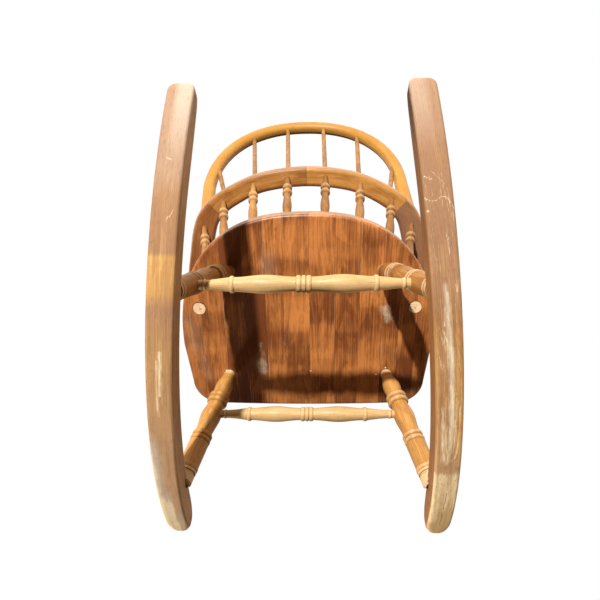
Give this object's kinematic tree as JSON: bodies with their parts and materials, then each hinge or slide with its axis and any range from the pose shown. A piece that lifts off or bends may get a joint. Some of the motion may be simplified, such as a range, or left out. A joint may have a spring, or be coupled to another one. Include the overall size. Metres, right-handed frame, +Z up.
{
  "type": "spindle-back rocking chair",
  "caption": "Wooden rocking chair: turned legs and stretchers on two curved rockers, a glued-up saddled seat, a low arm rail on turned spindles and a bent bow filled with dowels",
  "frame": {"origin": "middle of the chair's footprint box, on the floor", "axes": "+Z up from the floor, +Y towards the back of the chair, so a sitter faces -Y, and +X to the sitter's left"},
  "size_m": [0.669, 0.8534, 0.9222],
  "materials": {
    "rocker_oak": "worn, nearly bare wood",
    "leg_oak": "satin varnish, rubbed pale on the rings",
    "stretcher_oak": "satin varnish",
    "seat_oak": "satin varnish, underside thinly coated",
    "spindle_oak": "worn varnish",
    "rail_oak": "satin varnish",
    "arm_oak": "satin varnish, darkened by use",
    "bow_oak": "satin varnish"
  },
  "bodies": {
    "root": {"rocker_left": "rocker_oak", "rocker_right": "rocker_oak", "leg_front_left": "leg_oak", "leg_front_right": "leg_oak", "leg_rear_left": "leg_oak", "leg_rear_right": "leg_oak", "stretcher_front": "stretcher_oak", "stretcher_rear": "stretcher_oak", "seat_stave_1": "seat_oak", "seat_stave_2": "seat_oak", "seat_stave_3": "seat_oak", "seat_stave_4": "seat_oak", "seat_stave_5": "seat_oak", "seat_stave_6": "seat_oak", "seat_stave_7": "seat_oak", "seat_stave_8": "seat_oak", "seat_stave_9": "seat_oak", "seat_stave_10": "seat_oak", "seat_stave_11": "seat_oak", "seat_stave_12": "seat_oak", "arm_spindle_left_1": "spindle_oak", "arm_spindle_left_2": "spindle_oak", "arm_spindle_left_3": "spindle_oak", "arm_spindle_left_4": "spindle_oak", "arm_spindle_right_1": "spindle_oak", "arm_spindle_right_2": "spindle_oak", "arm_spindle_right_3": "spindle_oak", "arm_spindle_right_4": "spindle_oak", "arm_post_left": "spindle_oak", "arm_post_right": "spindle_oak", "back_dowel_left_1": "spindle_oak", "back_dowel_left_2": "spindle_oak", "back_dowel_left_3": "spindle_oak", "back_dowel_right_1": "spindle_oak", "back_dowel_right_2": "spindle_oak", "back_dowel_right_3": "spindle_oak", "arm_rail_back_left": "rail_oak", "arm_rail_back_right": "rail_oak", "arm_left": "arm_oak", "arm_right": "arm_oak", "back_bow": "bow_oak"}
  },
  "joints": []
}
